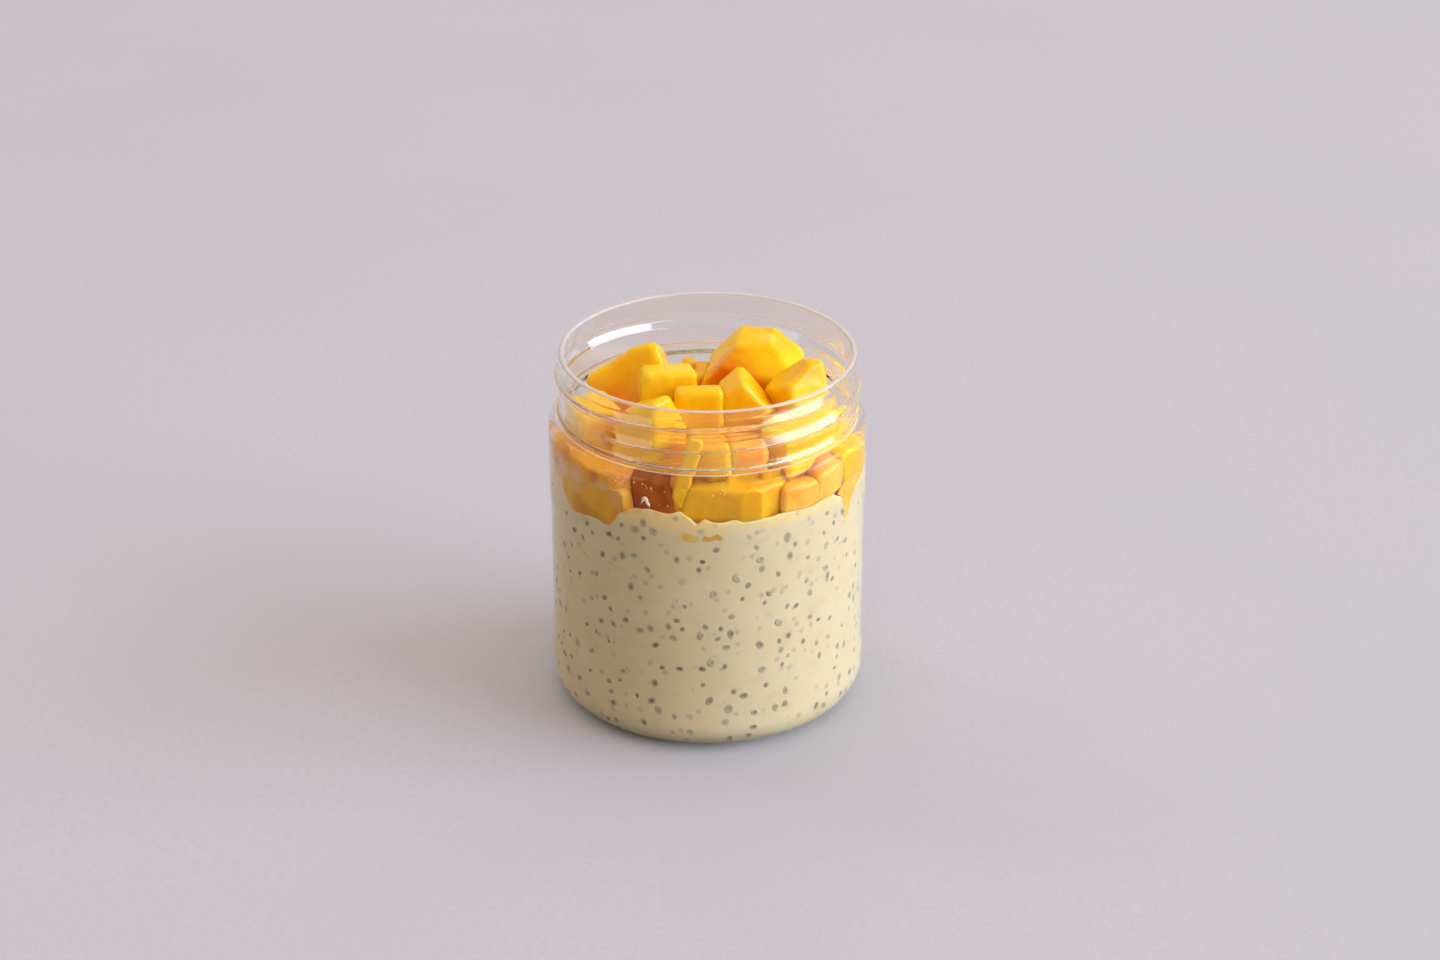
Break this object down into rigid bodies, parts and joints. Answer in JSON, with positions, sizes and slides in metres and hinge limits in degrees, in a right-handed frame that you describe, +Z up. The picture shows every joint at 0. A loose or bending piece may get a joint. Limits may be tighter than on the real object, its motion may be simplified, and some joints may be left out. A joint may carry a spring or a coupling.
{
  "type": "chia pudding in a jar",
  "caption": "Set chia seed pudding under a heap of diced ripe mango, in an open wide-mouth screw-neck jar of clear plastic without its lid.",
  "frame": {"origin": "middle of the ring that the jar stands on, at the height of the table", "axes": "+Z up along the jar's axis, -Y towards the side that the picture shows, +X to the right as seen from there"},
  "size_m": [0.072, 0.072, 0.084],
  "materials": {
    "clear_plastic": "clear and glossy",
    "set_pudding": "soft and moist, pale cream with grey-brown seeds",
    "ripe_mango": "moist flesh"
  },
  "bodies": {
    "root": {"jar": "clear_plastic", "pudding": "set_pudding", "mango_crown_back_left": "ripe_mango", "mango_crown_back_right": "ripe_mango", "mango_crown_back_small": "ripe_mango", "mango_crown_front": "ripe_mango", "mango_crown_front_left": "ripe_mango", "mango_crown_middle_left": "ripe_mango", "mango_crown_middle_right": "ripe_mango", "mango_crown_right": "ripe_mango", "mango_crumb_back": "ripe_mango", "mango_middle": "ripe_mango", "mango_middle_back": "ripe_mango", "mango_middle_front_left": "ripe_mango", "mango_middle_front_right": "ripe_mango", "mango_middle_left": "ripe_mango", "mango_middle_right": "ripe_mango", "mango_neck_back_left": "ripe_mango", "mango_neck_back_right": "ripe_mango", "mango_neck_far_right": "ripe_mango", "mango_neck_front": "ripe_mango", "mango_neck_front_right": "ripe_mango", "mango_neck_left": "ripe_mango", "mango_neck_right": "ripe_mango", "mango_ring_back_1": "ripe_mango", "mango_ring_back_2": "ripe_mango", "mango_ring_back_3": "ripe_mango", "mango_ring_back_4": "ripe_mango", "mango_ring_back_5": "ripe_mango", "mango_ring_back_6": "ripe_mango", "mango_ring_far_left": "ripe_mango", "mango_ring_far_right": "ripe_mango", "mango_ring_front": "ripe_mango", "mango_ring_front_left": "ripe_mango", "mango_ring_front_right": "ripe_mango", "mango_ring_left": "ripe_mango", "mango_ring_near_left": "ripe_mango", "mango_ring_right": "ripe_mango", "mango_sliver_front": "ripe_mango"}
  },
  "joints": []
}
